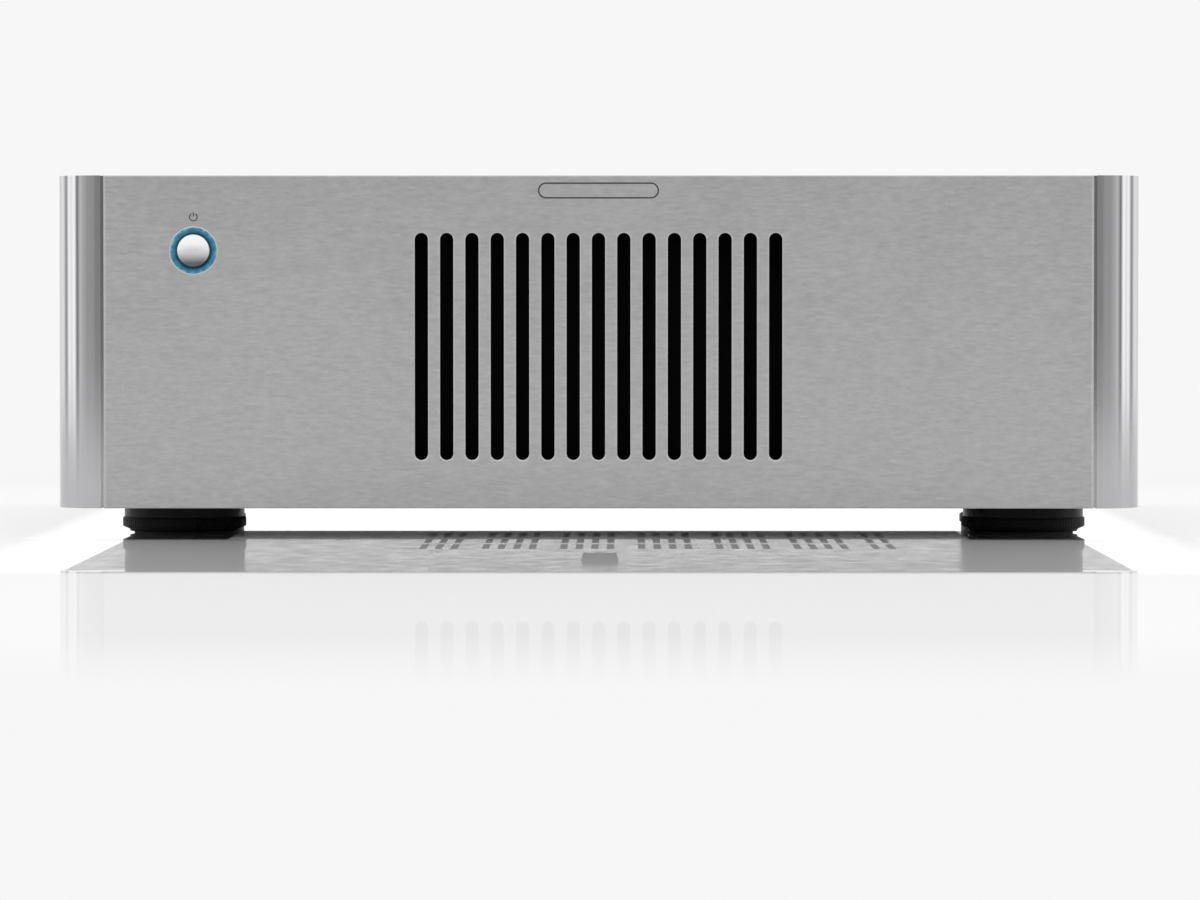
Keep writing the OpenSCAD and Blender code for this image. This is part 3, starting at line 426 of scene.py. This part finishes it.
def rounded(points, radii, steps=4):
    """A closed outline with its corners rounded, each by its own radius."""
    outline = []
    for i, (corner, radius) in enumerate(zip(points, radii)):
        corner = Vector(corner)
        if not radius:
            outline.append(corner)
            continue
        before = (Vector(points[i - 1]) - corner).normalized()
        after = (Vector(points[(i + 1) % len(points)]) - corner).normalized()
        half = before.angle(after) / 2
        centre = corner + (before + after).normalized() * radius / math.sin(half)
        first = corner + before * radius / math.tan(half) - centre
        last = corner + after * radius / math.tan(half) - centre
        sweep = first.angle(last)
        for k in range(steps + 1):
            share = k / steps
            swung = first * math.sin((1 - share) * sweep) + last * math.sin(share * sweep)
            outline.append(centre + swung / math.sin(sweep))
    return outline


def lathe(bm, outline, place, axis, steps=96, depth_at=None):
    """Adds a closed outline of (radius, height) turned round axis at place, sunk by depth_at if given."""
    side = axis.orthogonal().normalized()
    other = axis.cross(side)
    rings = []
    for k in range(steps):
        turn = math.tau * k / steps
        out = side * math.cos(turn) + other * math.sin(turn)
        ring = []
        for radius, height in outline:
            sunk = depth_at(radius, height, turn) if depth_at else 0
            ring.append(bm.verts.new(place + out * (radius - sunk) + axis * height))
        rings.append(ring)
    count = len(outline)
    for k, ring in enumerate(rings):
        following = rings[(k + 1) % steps]
        for i in range(count):
            j = (i + 1) % count
            bm.faces.new((ring[i], ring[j], following[j], following[i]))


def plate(bm, outline, y, thickness):
    """Adds a thin upright plate: an outline in X and Z, standing thickness out from the face at y."""
    front = [bm.verts.new((x, y + thickness, z)) for x, z in outline]
    rear = [bm.verts.new((x, y, z)) for x, z in outline]
    count = len(outline)
    bm.faces.new(front)
    bm.faces.new(rear[::-1])
    for i in range(count):
        j = (i + 1) % count
        bm.faces.new((front[i], rear[i], rear[j], front[j]))


def band(bm, path, width, y, thickness, closed=False):
    """Adds a thin printed or inlaid line of that width along a flat path in X and Z."""
    count = len(path)
    left, right = [], []
    for i, (x, z) in enumerate(path):
        here = Vector((x, z))
        before = Vector(path[i - 1]) if closed or i else None
        after = Vector(path[(i + 1) % count]) if closed or i < count - 1 else None
        ways = [(here - before).normalized()] if before is not None else []
        ways += [(after - here).normalized()] if after is not None else []
        way = sum(ways, Vector((0, 0))).normalized()
        across = Vector((-way.y, way.x)) * width / 2 / max(0.5, way.dot(ways[0]))
        left.append(here + across)
        right.append(here - across)
    rows = [[bm.verts.new((p.x, depth, p.y)) for p in side]
            for side in (left, right) for depth in (y, y + thickness)]
    left_low, left_high, right_low, right_high = rows
    for i in range(count if closed else count - 1):
        j = (i + 1) % count
        bm.faces.new((left_high[i], left_high[j], right_high[j], right_high[i]))
        bm.faces.new((left_low[j], left_low[i], right_low[i], right_low[j]))
        bm.faces.new((left_low[i], left_low[j], left_high[j], left_high[i]))
        bm.faces.new((right_high[i], right_high[j], right_low[j], right_low[i]))
    if not closed:
        for i in (0, count - 1):
            bm.faces.new((left_low[i], left_high[i], right_high[i], right_low[i]))


def arc(centre, radius, start, end, steps=32):
    """Points along an arc in X and Z, from start to end in degrees, turning from X towards Z."""
    turns = [math.radians(start + (end - start) * k / steps) for k in range(steps + 1)]
    return [(centre[0] + radius * math.cos(t), centre[1] + radius * math.sin(t)) for t in turns]


def rounded_frame(low, high, radius):
    """A rectangle in X and Z with round corners, as a closed path."""
    path = []
    for cx, cz, start in ((high[0] - radius, high[1] - radius, 0), (low[0] + radius, high[1] - radius, 90),
                          (low[0] + radius, low[1] + radius, 180), (high[0] - radius, low[1] + radius, 270)):
        path += arc((cx, cz), radius, start, start + 90, 8)
    return path


# ---------------------------------------------------------------- front details

INK_T = 0.03 * MM


def power_symbol():
    """The usual open ring and stroke, printed over the button in place of a word."""
    radius, line, rise = 1.5 * MM, 0.42 * MM, 13.3 * MM
    gap = 64                                # degrees left open at the top of the ring
    x, z = BUTTON.x, BUTTON.z + rise
    bm = bmesh.new()
    band(bm, arc((x, z), radius, 90 + gap / 2, 450 - gap / 2, 48), line, FACE_Y, -INK_T)
    band(bm, [(x, z + 0.2 * radius), (x, z + 1.25 * radius)], line, FACE_Y, -INK_T)
    piece("power_symbol", bm, DARK_INK_AND_SHADE)


def button_bezel():
    """A thin turned rim round the light ring."""
    rim = 0.32 * MM
    outline = [(RING_R + rim / 2 + rim * 0.7 * math.cos(t), -rim * 0.55 * math.sin(t))
               for t in [math.tau * k / 16 for k in range(16)]]
    bm = bmesh.new()
    lathe(bm, outline, Vector((BUTTON.x, FACE_Y, BUTTON.z)), BACK, steps=128)
    piece("button_bezel", bm, FINISHES["latch_steel"])


def name_bar_shade_fill():
    """A dark fill in the engraved outline of the blank name bar: painted shade that darkens the groove."""
    length, height, line, below_top = 48 * MM, 6.4 * MM, 0.6 * MM, 6 * MM
    groove_floor, shade_fill_t, shade_fill_w = 0.28 * MM, 0.16 * MM, 0.96 * line
    half, half_height = (length - line) / 2, (height - line) / 2
    z = PANEL_HIGH.z - below_top
    end_r = half_height - 0.001 * MM        # a hair less, so that the two arcs of an end do not meet
    path = rounded_frame((-half, z - half_height), (half, z + half_height), end_r)
    bm = bmesh.new()
    # The dark fill is painted shade laid in the groove.
    band(bm, path, shade_fill_w, FACE_Y + groove_floor, -shade_fill_t, closed=True)
    piece("name_bar_shade_fill", bm, DARK_INK_AND_SHADE)


# ---------------------------------------------------------------- feet

def foot_shell(node):
    """A moulded foot: a neck under the case, a wider ribbed band, and a recess for its pad and its screw."""
    low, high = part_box(node)
    centre = middle(node)
    r, top, bottom = (high.x - low.x) / 2, high.z, low.z
    neck_r, base_r = r - 0.7 * MM, r - 3 * MM
    pad_r, pad_hole_r, pad_h, lip = 20.7 * MM, 11.8 * MM, 2.0 * MM, 1.6 * MM
    well_r, bore_r, seat = 6.0 * MM, 2.6 * MM, 6.5 * MM
    band_low, band_high, shoulder = 2.8 * MM, 6.2 * MM, 6.8 * MM
    corners = [                             # radius, height, and the corner's rounding in millimetres
        (bore_r, top, 0), (neck_r, top, 0.3), (neck_r, shoulder, 0.2),
        (r, band_high, 0.5), (r, band_low, 0.6), (base_r + 0.2 * MM, lip, 0.3), (base_r, bottom, 0.25),
        (pad_r, bottom, 0.25), (pad_r, pad_h, 0), (pad_hole_r, pad_h, 0), (pad_hole_r - 0.8 * MM, lip, 0.15),
        (well_r, lip, 0.3), (well_r, seat, 0), (bore_r, seat, 0),
    ]
    outline = rounded([(a, b) for a, b, _ in corners], [c * MM for _, _, c in corners])
    ribs, rib_depth, rib_low, rib_high = 96, 0.22 * MM, 3 * MM, 6 * MM

    def groove(radius, height, turn):
        on_band = radius > r - 0.05 * MM and rib_low < height < rib_high
        return rib_depth * (0.5 - 0.5 * math.cos(ribs * turn)) if on_band else 0

    bm = bmesh.new()
    lathe(bm, outline, Vector((centre.x, centre.y, 0)), UP, steps=4 * ribs, depth_at=groove)
    piece(node.replace("foot", "foot_shell"), bm, FINISHES["foot_plastic"], replaced=node)


# ---------------------------------------------------------------- rear details

RCA_FLANGE_R = 6 * MM
RCA_LOW, RCA_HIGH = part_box("rca_jacks")
RCA_X = (RCA_LOW.x + RCA_HIGH.x) / 2
RCA_Z = {"upper": RCA_HIGH.z - RCA_FLANGE_R, "lower": RCA_LOW.z + RCA_FLANGE_R}
XLR_SCREW_X, XLR_SCREW_Z = 9.5 * MM, 12 * MM    # how far a flange screw is from the socket's middle
POST_NAMES = ["left_plus", "left_minus", "right_plus", "right_minus"]


def rca_trim(which, finish):
    """A coloured collar at the foot of a phono jack, and the insulator in its end."""
    shell_r, flange_t, hole_r = 4.15 * MM, 1.5 * MM, 1.65 * MM
    collar_r, collar_t, insulator_r, insulator_t = 5.7 * MM, 1.5 * MM, 3.45 * MM, 0.18 * MM
    place = Vector((RCA_X, REAR_Y, RCA_Z[which]))
    end = RCA_HIGH.y - REAR_Y
    bm = bmesh.new()
    collar = [
        (shell_r + 0.03 * MM, flange_t), (collar_r, flange_t),
        (collar_r - 0.3 * MM, flange_t + collar_t - 0.2 * MM), (shell_r + 0.03 * MM, flange_t + collar_t),
    ]
    lathe(bm, rounded(collar, [0, 0, 0.3 * MM, 0.1 * MM]), place, BACK, steps=64)
    insulator = [(hole_r + 0.45 * MM, end), (insulator_r, end), (insulator_r - 0.05 * MM, end + insulator_t),
                 (hole_r + 0.5 * MM, end + insulator_t)]
    lathe(bm, insulator, place, BACK, steps=48)
    piece("rca_trim_" + which, bm, finish)


def xlr_contacts(node):
    """Three split sleeves in the insert of a balanced input."""
    circle_r, sleeve_r, bore_r, length = 4.2 * MM, 1.24 * MM, 0.72 * MM, 8.5 * MM
    centre, front = middle(node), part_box(node)[1].y
    insert_face = front - 0.8 * MM
    sleeve = [(bore_r, -length), (sleeve_r, -length), (sleeve_r, -0.25 * MM), (1.05 * MM, -0.08 * MM),
              (0.86 * MM, -0.12 * MM), (bore_r, -0.4 * MM)]
    bm = bmesh.new()
    for angle in (90, 210, 330):
        across = circle_r * math.cos(math.radians(angle))
        down = circle_r * math.sin(math.radians(angle))
        lathe(bm, sleeve, Vector((centre.x + across, insert_face, centre.z - down)), BACK, steps=32)
    piece(node.replace("socket", "contacts"), bm, FINISHES["gold_plate"])


def cross_recess(turn):
    """The radius of a screw's cross recess in the direction turn."""
    core_r, arm_l, arm_from = 0.42 * MM, 0.95 * MM, 0.88
    along_arm = max(abs(math.cos(turn)), abs(math.sin(turn)))
    return core_r + arm_l * max(0.0, (along_arm - arm_from) / (1 - arm_from)) ** 1.2


def flange_screws(name, places, y):
    """Countersunk screws in a flange, each with a cross recess."""
    head_r, points = 2.4 * MM, 48
    turns = [math.tau * k / points for k in range(points)]
    recess = [cross_recess(turn) for turn in turns]
    levels = [                              # height, and the radius in each direction
        (-0.5 * MM, [head_r] * points),
        (0.05 * MM, [head_r] * points),
        (0.28 * MM, [head_r - 0.25 * MM] * points),
        (0.34 * MM, recess),
        (-0.45 * MM, [0.62 * r for r in recess]),
    ]
    bm = bmesh.new()
    for x, z in places:
        rings = []
        for height, radii in levels:
            rings.append([bm.verts.new((x + radius * math.cos(turn), y + height, z + radius * math.sin(turn)))
                          for radius, turn in zip(radii, turns)])
        for lower, upper in zip(rings, rings[1:]):
            for k in range(points):
                j = (k + 1) % points
                bm.faces.new((lower[k], lower[j], upper[j], upper[k]))
        bm.faces.new(rings[0][::-1])
        bm.faces.new(rings[-1])
    piece(name, bm, FINISHES["pin_nickel"])


def frame_round(bm, first, last, height, before, after, below, above):
    """A printed frame round what spans first to last along X at that height, with four margins in mm."""
    corner, line = 3 * MM, 0.5 * MM
    low, high = (first - before * MM, height - below * MM), (last + after * MM, height + above * MM)
    band(bm, rounded_frame(low, high, corner), line, REAR_Y, INK_T, closed=True)


def polarity_mark(bm, x, z, is_plus):
    """A printed minus, or a plus: a minus with a short stroke above it and one below it."""
    reach, line = 2.0 * MM, 0.9 * MM
    band(bm, [(x - reach, z), (x + reach, z)], line, REAR_Y, INK_T)
    for way in (-1, 1) if is_plus else ():
        band(bm, [(x, z + way * line / 2), (x, z + way * reach)], line, REAR_Y, INK_T)


def rear_print():
    """Printed lines on the rear panel: a frame round each group, and a plus or a minus over each post."""
    over_post, over_jacks, off_jacks, arrow = 15 * MM, 9 * MM, 8 * MM, 1.3 * MM
    bm = bmesh.new()
    posts = [middle("post_cap_" + name) for name in POST_NAMES]
    for plus, minus in (posts[:2], posts[2:]):
        inner, outer = sorted((plus.x, minus.x))
        frame_round(bm, inner, outer, plus.z, before=13, after=13, below=14, above=21)
        for post in (plus, minus):
            polarity_mark(bm, post.x, plus.z + over_post, post is plus)
    left, right = middle("xlr_socket_left"), middle("xlr_socket_right")
    frame_round(bm, right.x, RCA_X, left.z, before=17, after=11, below=21, above=26)
    selector = middle("selector_switch")
    frame_round(bm, selector.x, selector.x, selector.z, before=11, after=11, below=7, above=7)
    jacks = middle("trigger_jacks")
    frame_round(bm, jacks.x, jacks.x, jacks.z, before=17, after=17, below=9, above=13)
    for side in (-1, 1):                    # over the trigger jacks, one arrow up and one down
        x, z, tip = jacks.x + side * off_jacks, jacks.z + over_jacks, -side * arrow
        plate(bm, [(x - arrow, z - tip), (x + arrow, z - tip), (x, z + tip)], REAR_Y, INK_T)
    piece("rear_print", bm, DARK_INK_AND_SHADE)


power_symbol()
button_bezel()
name_bar_shade_fill()
for foot_node in ("foot_front_left", "foot_front_right", "foot_rear_left", "foot_rear_right"):
    foot_shell(foot_node)
rca_trim("upper", WHITE_PLASTIC)
rca_trim("lower", RED_PLASTIC)
for socket in ("xlr_socket_left", "xlr_socket_right"):
    xlr_contacts(socket)
    centre = middle(socket)
    places = [(centre.x + s * XLR_SCREW_X, centre.z - s * XLR_SCREW_Z) for s in (-1, 1)]
    flange_screws(socket.replace("socket", "screws"), places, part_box(socket)[1].y)
rear_print()


# ---------------------------------------------------------------- studio and camera

BACKDROP = 0.93                             # what the camera sees behind the object
OVERHEAD = 1.1                              # how bright the studio is overhead
OVERHEAD_FROM, OVERHEAD_FULL = 0.2, 0.45    # the sines of the heights between which that takes over
AROUND = [                                  # degrees round from the front, and how bright the studio is there
    (0, 0.22), (4, 0.26), (9, 0.40), (17, 0.37), (22, 0.50), (31, 0.53), (40, 0.53), (46, 0.65),
    (52, 0.71), (59, 0.93), (63, 0.74), (67, 0.32), (70, 0.28), (73, 0.86), (77, 1.68), (81, 1.85),
    (86, 1.42), (91, 1.46), (95, 1.75), (99, 1.61), (103, 1.05), (107, 0.55), (112, 0.51), (117, 0.89),
    (122, 1.25), (128, 1.31), (136, 1.20), (150, 0.97), (165, 1.00), (172, 1.14), (180, 1.14),
]
UNDER = 0.12                                # how far under the case the two lists below start
MIRRORING = [                               # metres ahead of the face, and the floor's mirror share there
    (-UNDER, 0.94), (-0.013, 0.94), (-0.005, 0.70), (0.245, 0.66), (0.262, 0.15), (0.60, 0.14), (0.80, 0.0),
]
SHADE = [                                   # metres ahead of the face, and the share lost between the feet
    (-UNDER, 0.0), (-0.092, 0.0), (-0.084, 0.9), (-0.013, 0.9), (-0.005, 0.0),
]
FLOOR_REACH = 6.0                           # half the side of the floor
FLOOR_FADE = (1.0, 3.5)                     # the distances from the object between which the floor fades out
LOW_VIEW = (0.8, 0.94)                      # the Facing values between which the floor starts to mirror
HALVED_AT = 0.015                           # metres beside the object where the mirroring is down to half
GONE_AT = 0.3                               # metres beside or behind the object where it is gone


def studio_world():
    """A soft studio: a grey front, tall bright panels at both sides, a bright top and a pale backdrop.

    A direction's Y gives its angle round from the front, and its Z how far it is raised.
    """
    brightest = max(level for _, level in AROUND)
    world = bpy.data.worlds.new("studio")
    world.use_nodes = True
    bpy.context.scene.world = world
    tree = world.node_tree
    background = tree.nodes["Background"]
    coords = tree.nodes.new("ShaderNodeTexCoord")
    split = tree.nodes.new("ShaderNodeSeparateXYZ")
    tree.links.new(coords.outputs["Generated"], split.inputs[0])
    place = tree.nodes.new("ShaderNodeMapRange")
    place.inputs["From Min"].default_value, place.inputs["From Max"].default_value = -1, 1
    tree.links.new(split.outputs["Y"], place.inputs["Value"])
    round_about = tone_ramp(tree, place.outputs[0], [
        ((1 - math.cos(math.radians(angle))) / 2, level / brightest) for angle, level in AROUND])
    raised = tree.nodes.new("ShaderNodeMapRange")
    raised.inputs["From Min"].default_value = OVERHEAD_FROM
    raised.inputs["From Max"].default_value = OVERHEAD_FULL
    tree.links.new(split.outputs["Z"], raised.inputs["Value"])
    domed = tree.nodes.new("ShaderNodeMix")
    domed.data_type = "RGBA"
    domed.inputs["B"].default_value = (*[OVERHEAD / brightest] * 3, 1)
    tree.links.new(raised.outputs[0], domed.inputs["Factor"])
    tree.links.new(round_about, domed.inputs["A"])
    seen = tree.nodes.new("ShaderNodeLightPath")
    shown = tree.nodes.new("ShaderNodeMix")
    shown.data_type = "RGBA"
    shown.inputs["B"].default_value = (*[BACKDROP / brightest] * 3, 1)
    tree.links.new(seen.outputs["Is Camera Ray"], shown.inputs["Factor"])
    tree.links.new(domed.outputs["Result"], shown.inputs["A"])
    tree.links.new(shown.outputs["Result"], background.inputs["Color"])
    background.inputs["Strength"].default_value = brightest


def beyond_object(finish):
    """How far a point of the floor lies outside the object's footprint, along X and along Y."""
    outside = finish.node("ShaderNodeVectorMath", Vector=finish.coords)
    outside.operation = "ABSOLUTE"
    beyond = finish.node("ShaderNodeVectorMath", Vector=outside.outputs[0])
    beyond.operation = "SUBTRACT"
    beyond.inputs[1].default_value = (cad_box[1][0], -FACE_Y, 0)
    kept = finish.node("ShaderNodeVectorMath", Vector=beyond.outputs[0])
    kept.operation = "MAXIMUM"
    return kept.outputs[0]


def mirror_share(finish, beyond):
    """The floor mirrors most close to the object and when it is seen from low down."""
    place = finish.node("ShaderNodeSeparateXYZ", Vector=finish.coords)
    depth = place.outputs["Y"]
    ahead = finish.math("SUBTRACT", FACE_Y + UNDER, depth)
    share, lost = [tone_ramp(finish.tree, ahead, [(distance + UNDER, tone) for distance, tone in stops])
                   for stops in (MIRRORING, SHADE)]
    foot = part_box("foot_front_right")[0].x
    between_feet = finish.remap(finish.math("ABSOLUTE", place.outputs["X"]), 1.0, 0.0, (foot - 2 * MM, foot))
    kept = finish.math("SUBTRACT", 1.0, finish.math("MULTIPLY", lost, between_feet))
    outside = finish.node("ShaderNodeSeparateXYZ", Vector=beyond).outputs["X"]
    beside = finish.math("MULTIPLY", finish.remap(outside, 1.0, 0.5, (0.0, HALVED_AT)),
                         finish.remap(outside, 1.0, 0.0, (0.0, GONE_AT)))
    behind = finish.remap(depth, 1.0, 0.0, (REAR_Y, REAR_Y + GONE_AT))
    facing = finish.node("ShaderNodeLayerWeight").outputs["Facing"]
    low_view = finish.remap(facing, 0.1, 1.0, LOW_VIEW)
    for factor in (kept, beside, behind, low_view):
        share = finish.math("MULTIPLY", share, factor)
    return share


def floor():
    """A pale floor, glossy close round the object, that fades into the backdrop far out."""
    finish = Finish("floor_white", (0.86, 0.86, 0.86), roughness=0.6, Specular_IOR_Level=0.0)
    tree = finish.tree
    finish.vary_roughness(finish.noise(3, detail=2.0), 0.01)
    beyond = beyond_object(finish)
    mirrored = finish.node("ShaderNodeMixShader", Fac=mirror_share(finish, beyond))
    gloss = finish.node("ShaderNodeBsdfGlossy", Color=(1, 1, 1, 1), Roughness=0.006)
    tree.links.new(finish.shader.outputs[0], mirrored.inputs[1])
    tree.links.new(gloss.outputs[0], mirrored.inputs[2])
    distance = finish.node("ShaderNodeVectorMath", Vector=beyond)
    distance.operation = "LENGTH"
    fade = finish.remap(distance.outputs["Value"], 0.0, 1.0, FLOOR_FADE)
    gone = finish.node("ShaderNodeMixShader", Fac=fade)
    tree.links.new(mirrored.outputs[0], gone.inputs[1])
    tree.links.new(finish.node("ShaderNodeBsdfTransparent").outputs[0], gone.inputs[2])
    tree.links.new(gone.outputs[0], tree.nodes["Material Output"].inputs["Surface"])
    corners = [(-1, -1), (1, -1), (1, 1), (-1, 1)]
    mesh = bpy.data.meshes.new("floor")
    mesh.from_pydata([(x * FLOOR_REACH, y * FLOOR_REACH, 0) for x, y in corners], [], [(0, 1, 2, 3)])
    mesh.materials.append(finish.material)
    made = bpy.data.objects.new("floor", mesh)
    bpy.context.collection.objects.link(made)


def camera():
    """A little over the middle of the case, far in front of it, with a long lens that looks slightly down."""
    place = Vector((11.5 * MM, FACE_Y - 2155 * MM, 97.5 * MM))
    target = Vector((0.6 * MM, FACE_Y, 35.9 * MM))
    view_width = 475.8 * MM
    data = bpy.data.cameras.new("camera")
    data.sensor_width = 36
    data.lens = data.sensor_width * (target - place).length / view_width
    data.clip_start, data.clip_end = 0.05, 100
    made = bpy.data.objects.new("camera", data)
    made.location = place
    made.rotation_euler = (target - place).to_track_quat("-Z", "Y").to_euler()
    bpy.context.collection.objects.link(made)
    bpy.context.scene.camera = made


bpy.context.scene.view_settings.view_transform = "Standard"
studio_world()
floor()
camera()
